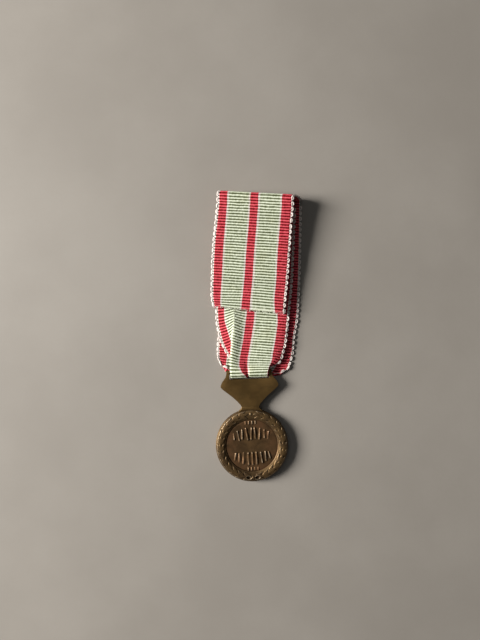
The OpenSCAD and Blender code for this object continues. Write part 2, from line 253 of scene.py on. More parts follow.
loop_rows = [
    bar_row(95, [0.57, 0.57, 0.58, 0.62, 0.8, 0.92, 0.95, 0.78, 0.66, 0.88, 0.93, 0.84, 0.64, 0.57],
            [-2.9, -2.4, -1.6, -2.3, -3.55, -3.35, -1.25, -0.65, -0.2, 0.2, 3.6, 3.68, 3.3, 2.9]),
    bar_row(140, [0.58, 0.58, 0.6, 0.64, 0.86, 0.99, 1.02, 0.76, 0.6, 0.9, 1.02, 0.86, 0.64, 0.58],
            [-2.75, -2.3, -1.6, -2.3, -3.5, -3.3, -0.62, -0.38, -0.2, 0.15, 3.5, 3.58, 3.2, 2.75]),
    bar_row(182, [0.6, 0.6, 0.62, 0.66, 0.9, 1.08, 1.1, 0.78, 0.6, 0.96, 1.1, 0.9, 0.64, 0.6],
            [-2.7, -2.3, -1.7, -2.4, -3.52, -3.3, -0.42, -0.25, -0.12, 0.15, 3.44, 3.54, 3.1, 2.65]),
    bar_row(228, [0.58, 0.58, 0.6, 0.64, 0.82, 0.92, 0.92, 0.88, 0.8, 0.9, 0.92, 0.86, 0.66, 0.6],
            [-3.1, -2.9, -2.7, -3.0, -3.6, -3.4, -1.4, -0.9, -0.2, 0.25, 3.45, 3.55, 3.35, 3.0]),
]
top, crease = front_rows[-1], tail_rows[0]
lean = crease[:, :2].mean(0) - tail_rows[1][:, :2].mean(0)
lean /= np.linalg.norm(lean)
leg_rows = []
for out, z in ((0.36, 0.29), (0.6, 0.75), (0.62, 1.8), (0.42, 2.9), (0.22, 3.5)):
    u = (z - top[:, 2]) / (crease[:, 2] - top[:, 2])
    row = top + (crease - top) * u[:, None]
    row[:, :2] += lean * (out - 0.1 * u[:, None])
    row[:, 2] = z
    leg_rows.append(row)

rows = np.array(back_rows + loop_rows + front_rows + leg_rows + tail_rows)
rows[:, :, 0] += BAR[0]
rows[:, :, 1] += BAR[1]
n_back, n_loop, n_front = len(back_rows), len(loop_rows), len(front_rows)

cols = np.unique(np.round(np.concatenate([
    np.linspace(-EDGE, EDGE, 61), [-6.95, -6.75, 6.75, 6.95], np.linspace(-3.6, -2.6, 11), np.linspace(4.9, 5.7, 5)]), 3))
C = len(cols)
grid = np.stack([across(TS, r, cols) for r in rows])
step = np.linalg.norm(np.diff(grid, axis=0), axis=2).mean(1)
knots = np.concatenate([[0], np.cumsum(step)])


def surface(q):
    return along(knots, grid.reshape(len(grid), -1), q).reshape(len(q), C, 3)


fine_q = np.linspace(0, knots[-1], 6000)
fine = surface(fine_q)
run = np.concatenate([[0], np.cumsum(np.linalg.norm(np.diff(fine, axis=0), axis=2).mean(1))])
LENGTH = run[-1]
N_ROWS = int(LENGTH / PITCH * PER) + 1
s_of = np.arange(N_ROWS) * (PITCH / PER)


def s_at_row(k):
    """Length along the strip at control row k."""
    return float(np.interp(knots[k], fine_q, run))


rib = np.arange(N_ROWS) / PER
n_ribs = int(rib[-1]) + 2
jit = RNG.normal(0, 1, (4, n_ribs))


def per_rib(k, at):
    return np.interp(at - 0.5, np.arange(n_ribs), jit[k])


# ribs wander a little along the strip
wave = 0.024 * (
    per_rib(0, rib)[:, None] * np.sin(0.75 * cols[None] + 1.7 * per_rib(1, rib)[:, None])
    + 0.6 * per_rib(2, rib)[:, None] * np.sin(2.3 * cols[None] + 2.1)
)
wave[-2:] = 0
mid = surface(np.interp(s_of, run, fine_q))
dv = np.gradient(mid, axis=0)
dv /= np.linalg.norm(dv, axis=2)[..., None] + 1e-9
mid = mid + dv * wave[..., None]
dt = np.gradient(mid, axis=1)
dt /= np.linalg.norm(dt, axis=2)[..., None] + 1e-9
nrm = np.cross(dt, dv)
nrm /= np.linalg.norm(nrm, axis=2)[..., None] + 1e-9

phase = rib % 1
shape = np.sqrt(np.clip(1 - (2 * phase - 1) ** 2, 0, 1))
half = HALF_GAP + (HALF_RIB - HALF_GAP) * shape * (1 + 0.07 * per_rib(3, rib))
s_slot0, s_slot1 = s_at_row(n_back - 1), s_at_row(n_back + n_loop)
squeeze = 1 - 0.3 * smoothstep(s_slot0 - 5, s_slot0, s_of) * (1 - smoothstep(s_slot1, s_slot1 + 4, s_of))
half = (half * squeeze)[:, None] * (1 - 0.35 * smoothstep(EDGE - 0.35, EDGE, np.abs(cols)))[None]
# single warp floats make the crest of a rib slightly uneven
half = half * (1 + 0.05 * np.sin(cols[None] * 9.1 + 3.0 * np.floor(rib)[:, None]) * shape[:, None])


# where the cloth is paler: a painted highlight along the hard crease of the gather, and the brushed-out last ribs at
# the cut end
crease_line = np.exp(-(((cols + 3.05) / 0.17) ** 2))[None]
crease_run = smoothstep(s_at_row(3) - 1.0, s_at_row(4), s_of) * (1 - smoothstep(s_at_row(7), s_at_row(8), s_of))
end_gap = (s_of[-1] - s_of)[:, None] + 0.10 * np.sin(3.7 * cols)[None] + 0.07 * np.sin(9.3 * cols + 1)[None]
end_depth = (0.26 + 0.5 * smoothstep(0.5, 1.4, cols) * (1 - smoothstep(4.6, 5.2, cols)))[None]
crease_highlight_and_fray = np.maximum(0.85 * crease_line * crease_run[:, None], 0.95 * (1 - smoothstep(0.55 * end_depth, end_depth, end_gap)))


def strip_piece(name, i0, i1):
    """Closed shell of the strip from mesh row i0 to i1."""
    n = i1 - i0 + 1
    M, H, N, T = mid[i0:i1 + 1], half[i0:i1 + 1], nrm[i0:i1 + 1], dt[i0:i1 + 1]
    up, low = M + N * H[..., None], M - N * H[..., None]
    up[..., 2], low[..., 2] = np.maximum(up[..., 2], 0.004), np.maximum(low[..., 2], 0.004)
    left, right = M[:, :1] - T[:, :1] * 0.05, M[:, -1:] + T[:, -1:] * 0.05
    ring = np.concatenate([up, right, low[:, ::-1], left], axis=1)
    m = 2 * C + 2
    verts = ring.reshape(-1, 3)
    i, k = np.meshgrid(np.arange(n - 1), np.arange(m), indexing="ij")
    k2 = (k + 1) % m
    quads = np.stack([i * m + k, i * m + k2, (i + 1) * m + k2, (i + 1) * m + k], -1).reshape(-1, 4)
    faces = quads.tolist()
    caps = []
    for base, start in ((0, True), ((n - 1) * m, False)):
        tri = [(0, 2 * C + 1, 2 * C), (C - 1, C + 1, C)]
        quad = [(j, 2 * C - j, 2 * C - j - 1, j + 1) for j in range(C - 1)]
        for f in tri + quad:
            f = [base + v for v in (f if start else f[::-1])]
            caps.append(len(faces))
            faces.append(f)
    t_ring = np.concatenate([cols, [EDGE + 0.05], cols[::-1], [-EDGE - 0.05]])
    return make_mesh(name, verts, faces, {
        "strip_t": np.tile(t_ring, n),
        "rib": np.repeat(rib[i0:i1 + 1], m),
        "crease_highlight_and_fray": np.concatenate([crease_highlight_and_fray[i0:i1 + 1], crease_highlight_and_fray[i0:i1 + 1, -1:], crease_highlight_and_fray[i0:i1 + 1, ::-1],
                                  crease_highlight_and_fray[i0:i1 + 1, :1]], 1),
    }, flat=caps)


seam = int(round(s_at_row(n_back + n_loop + n_front - 1) / PITCH)) * PER
last = N_ROWS - 1 - ((N_ROWS - 1) % PER) + (3 if (N_ROWS - 1) % PER >= 3 else 0)
last = min(last, N_ROWS - 1)
ribbon_cloth = strip_piece("ribbon_cloth", 0, seam)
tail_cloth = strip_piece("ribbon_tail_cloth", seam, last)


# ---------------------------------------------------------------- picot loops along both selvedges
def picots(name, s0, s1, skip=()):
    parts = Parts()
    k = 0
    s = s0
    while s < s1:
        k += 1
        i = int(np.clip(round(s / (PITCH / PER)), 1, N_ROWS - 2))
        if not any(a < s < b for a, b in skip):
            for side in (-1, 1):
                c = 0 if side < 0 else C - 1
                e, t_dir, out, n = mid[i, c], dv[i, c], dt[i, c] * side, nrm[i, c]
                r1, r2, r3, r4, r5 = RNG.uniform(-1, 1, 5)
                # the loops of one selvedge are drawn tighter than those of the other
                a, b, off, thick = (0.10, 0.355, 0.10, 0.158) if side < 0 else (0.17, 0.335, 0.135, 0.138)
                a, b = a + 0.022 * r1, b + 0.03 * r2
                tilt = 0.22 * r3
                o2 = out * math.cos(tilt) + n * math.sin(tilt)
                phi = np.linspace(0, 2 * math.pi, 15)[:-1]
                q = (
                    e
                    + o2 * (off + a * np.cos(phi) * (1 + 0.08 * np.cos(phi)))[:, None]
                    + t_dir * (b * np.sin(phi) + 0.05 * r4)[:, None]
                    + n * (0.03 * np.sin(phi + 2 * r5))[:, None]
                )
                q[:, 2] = np.maximum(q[:, 2], thick + 0.018)
                parts.tube(q, thick + 0.014 * np.sin(2 * phi + 3 * r4), sides=7, closed=True, attrs={"yarn": k * 0.37 % 1})
        s += 2 * PITCH
    return parts.make(name)


s_seam = seam * PITCH / PER
ribbon_picots = picots("ribbon_picots", 0.4, s_seam - 0.3, skip=[(s_slot0 - 0.1, s_slot1 + 0.1)])
tail_picots = picots("tail_picots", s_seam + 0.7, last * PITCH / PER - 0.25)


# ---------------------------------------------------------------- cut ends, slightly frayed
def fray(i_end, sign, count, longest):
    parts = Parts()
    for _ in range(count):
        t = RNG.uniform(-EDGE + 0.05, EDGE - 0.05)
        if RNG.uniform() < 0.3:
            t = math.copysign(EDGE - RNG.uniform(0, 0.5), t)
        c = int(np.argmin(abs(cols - t)))
        e, f, a, n = mid[i_end, c], dv[i_end, c] * sign, dt[i_end, c], nrm[i_end, c]
        long = longest * RNG.uniform(0.25, 1) ** 1.5
        u = np.linspace(-0.25, 1, 6)[:, None]
        bend = RNG.normal(0, 0.25, 2)
        lift = RNG.uniform(-0.1, 0.1)
        path = e + n * lift + f * u * long + a * bend[0] * long * u * abs(u) + n * bend[1] * 0.6 * long * u * abs(u)
        path[:, 2] = np.maximum(path[:, 2], 0.04)
        parts.tube(path, np.linspace(0.036, 0.022, 6), sides=5, attrs={"strip_t": t, "rib": rib[i_end] + 0.5, "crease_highlight_and_fray": 0.4})
    return parts


def fuzz(parts, i_end, count):
    """Loose fibres lying over the last ribs before the cut."""
    for _ in range(count):
        wide = RNG.uniform() < 0.6
        t = RNG.uniform(0.7, 5.0) if wide else RNG.uniform(-EDGE + 0.1, EDGE - 0.1)
        c = int(np.argmin(abs(cols - t)))
        back = RNG.uniform(0.0, 0.85 if wide else 0.35)
        i = max(i_end - int(round(back / (PITCH / PER))), 0)
        e, f, a, n = mid[i, c], dv[i, c], dt[i, c], nrm[i, c]
        e = e + n * (HALF_RIB * 1.02 + RNG.uniform(-0.02, 0.04))
        way = RNG.uniform(-1.2, 1.2)
        u = np.linspace(-0.5, 0.5, 6)[:, None]
        long = RNG.uniform(0.22, 0.5)
        curl = RNG.normal(0, 0.5, 2)
        path = e + (f * math.cos(way) + a * math.sin(way)) * u * long + a * curl[0] * long * (u**2) + n * curl[1] * 0.25 * long * (u**2)
        parts.tube(path, 0.026, sides=4, attrs={"strip_t": t, "rib": rib[i_end] + 0.5, "crease_highlight_and_fray": 0.7})


frayed = fray(last, 1, 240, 0.34)
fuzz(frayed, last - 2, 300)
tail_fray = frayed.make("tail_fray")
end_fray = fray(0, -1, 90, 0.3).make("sewn_end_fray")


# ---------------------------------------------------------------- tacking thread over the sewn end
st_lo, st_hi = (np.array(v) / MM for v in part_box("tacking_stitches"))
stitches = Parts()
n_st = 5
for k in range(n_st):
    t = -4.8 + 9.6 * k / (n_st - 1) + RNG.uniform(-0.15, 0.15)
    c = int(np.argmin(abs(cols - t)))
    i = 9
    b0, b1 = mid[2, c], mid[i, c]
    f0 = b0 - dv[0, c] * 0.35
    over = 0.24
    pts = np.array([
        [b1[0], b1[1], 0.12], [b1[0], b1[1], b1[2] + 0.05], b1 + [0.02, 0.03, over], (b0 + b1) / 2 + [0, 0, over + 0.02],
        b0 + [0, 0, over], f0 + [0, 0.02, 0.05], [f0[0], f0[1], 0.3], [f0[0] - 0.02, f0[1] - 0.12, 0.1],
    ])
    u = np.linspace(0, len(pts) - 1, 46)
    line = along(np.arange(len(pts), dtype=float), pts, u)
    line[:, 2] = np.maximum(line[:, 2], 0.11)
    tan = np.gradient(line, axis=0)
    tan /= np.linalg.norm(tan, axis=1)[:, None]
    sidev = np.cross(tan, [0.995, -0.09, 0.02])
    sidev /= np.linalg.norm(sidev, axis=1)[:, None]
    other = np.cross(tan, sidev)
    for ply in (0, math.pi):  # two plies twisted together
        w = 2 * math.pi * u / 0.75 + ply
        stitches.tube(line + 0.045 * (sidev * np.cos(w)[:, None] + other * np.sin(w)[:, None]), 0.052, sides=6, attrs={"yarn": k / 5})
tack_thread = stitches.make("tack_thread")
# ---------------------------------------------------------------- struck disc
FIELD_Z = 1.25          # reverse field
OBV_Z = 0.35            # obverse field, inside the flat rim it lies on


def bump_line(d, w):
    """Rounded ridge of half width w at distance d."""
    return np.sqrt(np.clip(1 - (d / w) ** 2, 0, 1))


def leaf(u, w, length, width):
    """Height 0..1 of a pointed leaf with a vein, along u and across w."""
    x = np.clip(u / length, 1e-6, 1)
    hw = width * np.sin(math.pi * x**0.8) ** 0.8 * (1 - 0.15 * x)
    inside = (u > 0) & (u < length) & (abs(w) < hw)
    body = np.sqrt(np.clip(1 - (w / np.maximum(hw, 1e-3)) ** 2, 0, 1))
    vein = 0.22 * np.exp(-((w / 0.05) ** 2)) + 0.1 * np.cos(2 * math.pi * (u - 0.8 * abs(w)) / 0.34) * (abs(w) > 0.06)
    return np.where(inside, np.clip(0.35 + 0.65 * body - vein + 0.35 * x, 0, 2), 0)


def reverse_height(x, y):
    r = np.hypot(x, y)
    ang = np.arctan2(abs(x), y)                    # 0 at the top, pi at the bottom
    side = np.sign(x) + (x == 0)
    mid_r = 6.14
    z = np.zeros_like(r)
    # soft hollow of the field and the step up to the garland
    z += 0.03 * (r / 5.1) ** 4 * (r < 5.15)
    z -= 0.03 * np.exp(-(((r - 4.98) / 0.1) ** 2))
    torus = 0.34 * np.sqrt(np.clip(1 - ((r - mid_r) / np.where(r < mid_r, 1.12, 0.86)) ** 2, 0, 1))
    leaves = np.zeros_like(r)
    arc = (math.pi - ang) * mid_r                  # from the bottom tie up either side
    groups = 13
    for k in range(groups):
        a0 = 0.55 + k * (math.pi * mid_r - 1.5) / groups
        for w0, beta, length, width, lift in ((0.0, 0.0, 1.9, 0.34, 0.05), (0.16, 0.36, 1.65, 0.3, 0.0), (-0.16, -0.36, 1.65, 0.3, 0.0)):
            wob = 0.05 * math.sin(3.1 * k + 5 * beta)
            du, dw = arc - a0, (r - mid_r) - w0 - wob
            u = du * math.cos(beta) + dw * math.sin(beta)
            w = -du * math.sin(beta) + dw * math.cos(beta)
            leaves = np.maximum(leaves, leaf(u, w, length, width) + lift * (leaf(u, w, length, width) > 0))
        # a small berry at each group's root
        for bw in (-0.62, 0.62):
            d = np.hypot(arc - a0 - 0.25, (r - mid_r) - bw)
            leaves = np.maximum(leaves, 0.62 * bump_line(d, 0.17) * (d < 0.17))
    keep = smoothstep(0.2, 0.6, arc) * smoothstep(0.35, 0.7, ang * mid_r)
    z += torus + 0.085 * leaves * keep * np.clip(torus / 0.25, 0, 1)
    # berry where the tips meet, on a small calyx
    d = np.hypot(x, y - mid_r)
    z = np.maximum(z, 0.2 + 0.26 * bump_line(d, 0.34) * (d < 0.34)) * (d < 0.5) + z * (d >= 0.5)
    # tie: knot, two open loops and two ends at the bottom
    for s in (-1, 1):
        lx, ly = (x - s * 0.86), (y + mid_r - 0.02)
        ca, sa = math.cos(s * 0.2), math.sin(s * 0.2)
        ex, ey = (lx * ca + ly * sa) / 0.72, (-lx * sa + ly * ca) / 0.46
        e = np.hypot(ex, ey)
        band = bump_line(e - 0.78, 0.3) * (abs(e - 0.78) < 0.3)
        z = np.where(e < 1.1, np.maximum(0.16 + 0.3 * band, z * (e > 0.85)), z)
    d = np.hypot(x, (y + mid_r) * 0.9)
    z = np.where(d < 0.34, np.maximum(z, 0.2 + 0.34 * bump_line(d, 0.34)), z)
    # upper band: upright bars with an arched top; lower band: upright bars with an arched foot
    tilt = 0.025
    xs, ys = x * math.cos(tilt) + y * math.sin(tilt), -x * math.sin(tilt) + y * math.cos(tilt)
    for upper in (True, False):
        for k in range(-4, 5):
            cx = k * 0.84 + 0.07 * math.sin(4.3 * k + upper)
            wide = 0.115 + 0.035 * math.sin(5.7 * k + 2.2 * upper) + 0.03 * ((k * 3 + upper) % 3 == 0)
            bow = 1 - (cx / 3.9) ** 2
            if upper:
                y0, y1 = 1.15 + 0.12 * math.sin(2.6 * k), 2.2 + 1.3 * bow
            else:
                y0, y1 = -2.3 - 1.5 * bow, -1.3 - 0.12 * math.sin(3.3 * k)
            lean_in = 0.12 * cx / 3.4 * (1 if upper else -1) + 0.09 * math.sin(2.9 * k + 1.3 * upper)
            dx = xs - cx - lean_in * (ys - (y0 + y1) / 2)
            dy = np.maximum(np.maximum(y0 + wide - ys, ys - y1 + wide), 0)
            d = np.hypot(dx, dy)
            worn = 0.155 + 0.05 * math.sin(7 * k + 2 * upper) + 0.05 * np.sin(2.4 * ys + 1.9 * k)
            z = np.maximum(z, worn * np.clip(bump_line(d, wide + 0.05), 0, 1) ** 0.7 * (d < wide + 0.05))
    for y0, y1 in ((4.1, 4.75), (-4.85, -4.25)):
        for k in range(4):
            dx = xs - (k - 1.5) * 0.64
            dy = np.maximum(np.maximum(y0 + 0.1 - ys, ys - y1 + 0.1), 0)
            d = np.hypot(dx, dy)
            z = np.maximum(z, (0.12 + 0.03 * math.sin(5 * k + y0)) * bump_line(d, 0.15) * (d < 0.15))
    return z


def obverse_height(x, y):
    """Depth below the field (positive towards the table): plain star on rays inside a laurel ring."""
    r, th = np.hypot(x, y), np.arctan2(x, y)
    z = 0.02 * np.cos(48 * th) * smoothstep(1.6, 2.4, r) * (1 - smoothstep(4.5, 4.9, r))
    seg = math.pi * 2 / 5
    a = abs((th + seg / 2) % seg - seg / 2)
    inner, outer = 1.45, 3.7
    # distance inside the star's edge, and its five ridges
    ex = np.array([inner * math.sin(seg / 2), inner * math.cos(seg / 2)])
    tip = np.array([0.0, outer])
    px, py = r * np.sin(a), r * np.cos(a)
    nx, ny = (tip[1] - ex[1]), -(tip[0] - ex[0])
    nl = math.hypot(nx, ny)
    inside = -((px - ex[0]) * nx + (py - ex[1]) * ny) / nl
    z += np.clip(inside, 0, 0.9) * 0.25
    for k in range(30):
        t0 = (k + 0.5) * 2 * math.pi / 30
        for off, beta in ((-0.14, -0.5), (0.14, 0.5)):
            u = ((th - t0 + math.pi) % (2 * math.pi) - math.pi) * 5.4
            w = (r - 5.45) - off
            uu, ww = u * math.cos(beta) + w * math.sin(beta), -u * math.sin(beta) + w * math.cos(beta)
            z = np.maximum(z, 0.13 * leaf(uu + 0.5, ww, 1.25, 0.25))
    d = abs(r - 4.75)
    z = np.maximum(z, 0.06 * bump_line(d, 0.1) * (d < 0.1))
    return z


def disc_mesh():
    n = 560
    th = np.arange(n) * 2 * math.pi / n
    r_top = np.concatenate([np.linspace(0.06, 4.9, 58), np.linspace(4.96, 6.9, 38), [6.94, 6.97]])
    r_edge = [(6.99, 1.12), (7.0, 1.0), (7.0, 0.75), (7.0, 0.5), (7.0, 0.25), (6.975, 0.12), (6.93, 0.045), (6.86, 0.01)]
    r_rim = [(6.75, 0.0), (6.5, 0.0), (6.38, 0.01), (6.3, 0.06), (6.24, 0.16), (6.2, 0.27)]
    r_bot = np.concatenate([np.linspace(6.14, 3.0, 52), np.linspace(2.92, 0.06, 24)])
    rings, cav, zone = [], [], []
    for r in r_top:
        x, y = r * np.sin(th), r * np.cos(th)
        z = FIELD_Z + reverse_height(x, y)
        drop = smoothstep(6.7, 6.99, r)
        z = z * (1 - drop) + (1.2 + 0.04 * np.sin(5 * th) * np.cos(3 * th)) * drop
        rings.append(np.stack([x, y, np.minimum(z, DISC_T - 0.01)], 1))
    nick = 0.012 * np.sin(17 * th + 1) * np.sin(5 * th) + 0.006 * np.sin(61 * th)
    for r, z in r_edge:
        rr = r + nick * 0.6
        rings.append(np.stack([rr * np.sin(th), rr * np.cos(th), np.full(n, z)], 1))
    for r, z in r_rim:
        rings.append(np.stack([r * np.sin(th), r * np.cos(th), np.full(n, z)], 1))
    for r in r_bot:
        x, y = r * np.sin(th), r * np.cos(th)
        z = OBV_Z - obverse_height(x, y) * smoothstep(6.2, 6.0, r)
        rings.append(np.stack([x, y, np.maximum(z, 0.02)], 1))
    P = np.array(rings)
    m = len(P)
    # relief worn on its crests and dark in its hollows
    soft = P[..., 2].copy()
    for _ in range(10):
        s = soft.copy()
        s[1:-1] = 0.5 * soft[1:-1] + 0.25 * (soft[:-2] + soft[2:])
        soft = 0.5 * s + 0.25 * (np.roll(s, 1, 1) + np.roll(s, -1, 1))
    curve = (P[..., 2] - soft)
    flip = np.where(np.arange(m) >= len(r_top), -1.0, 1.0)[:, None]
    curve = curve * flip
    lo_e, hi_e = len(r_top), len(r_top) + len(r_edge) + len(r_rim)
    curve[lo_e - 3:hi_e] = 0.01
    rad = np.hypot(P[..., 0], P[..., 1])
    field = ((rad < 5.05) & (np.arange(m)[:, None] < len(r_top))) * (0.3 + 0.7 * smoothstep(1.2, 4.0, rad))
    verts = np.vstack([P.reshape(-1, 3), [[0, 0, P[0, :, 2].mean()]], [[0, 0, P[-1, :, 2].mean()]]])
    i, k = np.meshgrid(np.arange(m - 1), np.arange(n), indexing="ij")
    k2 = (k + 1) % n
    # th turns clockwise seen from above, so this order faces outwards
    faces = np.stack([i * n + k, i * n + k2, (i + 1) * n + k2, (i + 1) * n + k], -1).reshape(-1, 4).tolist()
    a, b = m * n, m * n + 1
    for j in range(n):
        j2 = (j + 1) % n
        faces.append((a, j2, j))
        faces.append((b, (m - 1) * n + j, (m - 1) * n + j2))
    verts = verts + DISC
    return make_mesh("struck_disc", verts, faces, {
        "curve": np.concatenate([curve.ravel(), [0, 0]]),
        "field": np.concatenate([field.ravel(), [1, 0]]),
    })


disc = disc_mesh()


# ---------------------------------------------------------------- plate and braze, from their CAD shapes
def eased(node, name, width, segments, angle=28):
    """The node's own shape with its sharp edges eased; the attribute "wear" is 1 on the eased edges."""
    src = frame["nodes"][node]
    bm = bmesh.new()
    bm.from_mesh(src.data)
    bm.transform(src.matrix_world)
    bmesh.ops.remove_doubles(bm, verts=bm.verts, dist=2e-6)
    bmesh.ops.dissolve_limit(bm, angle_limit=math.radians(1.0), verts=bm.verts, edges=bm.edges)
    bmesh.ops.recalc_face_normals(bm, faces=bm.faces)
    edges = [e for e in bm.edges if len(e.link_faces) == 2 and e.calc_face_angle(0) > math.radians(angle)]
    made = bmesh.ops.bevel(bm, geom=edges, offset=width * MM, offset_type="OFFSET", segments=segments, profile=0.5,
                           affect="EDGES", clamp_overlap=True)
    bev = set(made["faces"])
    wear = {v.index: 0.0 for v in bm.verts}
    bm.verts.ensure_lookup_table()
    bm.verts.index_update()
    for v in bm.verts:
        wear[v.index] = 1.0 if v.link_faces and all(f in bev for f in v.link_faces) else 0.0
    bmesh.ops.triangulate(bm, faces=[f for f in bm.faces if len(f.verts) > 4])
    mesh = bpy.data.meshes.new(name)
    bm.verts.index_update()
    bm.to_mesh(mesh)
    bm.free()
    for p in mesh.polygons:
        p.use_smooth = True
    a = mesh.attributes.new("wear", "FLOAT", "POINT")
    a.data.foreach_set("value", np.array([wear.get(i, 0.0) for i in range(len(mesh.vertices))], np.float32))
    obj = bpy.data.objects.new(name, mesh)
    bpy.context.collection.objects.link(obj)
    mesh.set_sharp_from_angle(angle=math.radians(35))
    return obj


plate = eased("suspension_plate", "plate_stamped", 0.07, 4)
fillet = eased("braze_fillet", "braze_joint", 0.1, 4)
# ---------------------------------------------------------------- materials
def lin(r, g, b):
    return tuple((c / 12.92 if c <= 0.04045 else ((c + 0.055) / 1.055) ** 2.4) for c in (r / 255, g / 255, b / 255)) + (1.0,)


class Graph:
    """Short names for shader nodes."""

    def __init__(self, name):
        self.mat = bpy.data.materials.new(name)
        self.mat.use_nodes = True
        self.t = self.mat.node_tree
        self.t.nodes.clear()
        self.bsdf = self.t.nodes.new("ShaderNodeBsdfPrincipled")
        out = self.t.nodes.new("ShaderNodeOutputMaterial")
        self.t.links.new(self.bsdf.outputs[0], out.inputs[0])

    def put(self, socket, value):
        if isinstance(value, bpy.types.NodeSocket):
            self.t.links.new(value, socket)
        else:
            socket.default_value = value

    def set(self, **named):
        for key, value in named.items():
            self.put(self.bsdf.inputs[key.replace("_", " ")], value)

    def math(self, op, a, b=0.0, c=0.0, clamp=False):
        n = self.t.nodes.new("ShaderNodeMath")
        n.operation, n.use_clamp = op, clamp
        for s, v in zip(n.inputs, (a, b, c)):
            self.put(s, v)
        return n.outputs[0]

    def vec(self, x=0.0, y=0.0, z=0.0):
        n = self.t.nodes.new("ShaderNodeCombineXYZ")
        for s, v in zip(n.inputs, (x, y, z)):
            self.put(s, v)
        return n.outputs[0]

    def mm(self, scale=(1, 1, 1)):
        """Place on the object in millimetres, times scale."""
        c = self.t.nodes.new("ShaderNodeTexCoord")
        n = self.t.nodes.new("ShaderNodeVectorMath")
        n.operation = "MULTIPLY"
        self.t.links.new(c.outputs["Object"], n.inputs[0])
        n.inputs[1].default_value = tuple(s / MM for s in scale)
        return n.outputs[0]

    def noise(self, at, scale=1.0, detail=2.0, rough=0.5, distortion=0.0):
        n = self.t.nodes.new("ShaderNodeTexNoise")
        self.put(n.inputs["Vector"], at)
        n.inputs["Scale"].default_value = scale
        n.inputs["Detail"].default_value = detail
        n.inputs["Roughness"].default_value = rough
        n.inputs["Distortion"].default_value = distortion
        return n.outputs[0]

    def white(self, at):
        n = self.t.nodes.new("ShaderNodeTexWhiteNoise")
        n.noise_dimensions = "3D"
        self.put(n.inputs["Vector"], at)
        return n.outputs["Value"]

    def attr(self, name):
        n = self.t.nodes.new("ShaderNodeAttribute")
        n.attribute_type, n.attribute_name = "GEOMETRY", name
        return n.outputs["Fac"]

    def ramp(self, fac, stops, how="LINEAR"):
        n = self.t.nodes.new("ShaderNodeValToRGB")
        n.color_ramp.interpolation = how
        e = n.color_ramp.elements
        while len(e) > 1:
            e.remove(e[-1])
        for k, (pos, col) in enumerate(stops):
            s = e[0] if k == 0 else e.new(pos)
            s.position = pos
            s.color = col if hasattr(col, "__len__") else (col, col, col, 1)
        self.put(n.inputs[0], fac)
        return n.outputs[0]

    def mix(self, fac, a, b, how="MIX"):
        n = self.t.nodes.new("ShaderNodeMix")
        n.data_type, n.blend_type, n.clamp_factor = "RGBA", how, True
        self.put(n.inputs[0], fac)
        self.put(n.inputs[6], a)
        self.put(n.inputs[7], b)
        return n.outputs[2]

    def ease(self, x, a, b):
        n = self.t.nodes.new("ShaderNodeMapRange")
        n.interpolation_type = "SMOOTHSTEP"
        self.put(n.inputs[0], x)
        n.inputs[1].default_value, n.inputs[2].default_value = a, b
        return n.outputs[0]

    def gamma(self, col, g):
        n = self.t.nodes.new("ShaderNodeGamma")
        self.put(n.inputs[0], col)
        n.inputs[1].default_value = g
        return n.outputs[0]

    def bump(self, height, strength, distance_mm, normal=None):
        n = self.t.nodes.new("ShaderNodeBump")
        n.inputs["Strength"].default_value = strength
        n.inputs["Distance"].default_value = distance_mm * MM
        self.put(n.inputs["Height"], height)
        if normal is not None:
            self.put(n.inputs["Normal"], normal)
        return n.outputs[0]


GREEN = lin(240, 244, 222)
RED = lin(243, 108, 115)
WHITE = lin(253, 243, 238)
STRIPES = [(-9, WHITE), (-6.85, RED), (-5.31, WHITE), (-4.95, GREEN), (-1.24, WHITE), (-0.89, RED), (0.57, WHITE),
           (1.0, GREEN), (4.70, WHITE), (5.05, RED), (6.91, WHITE)]


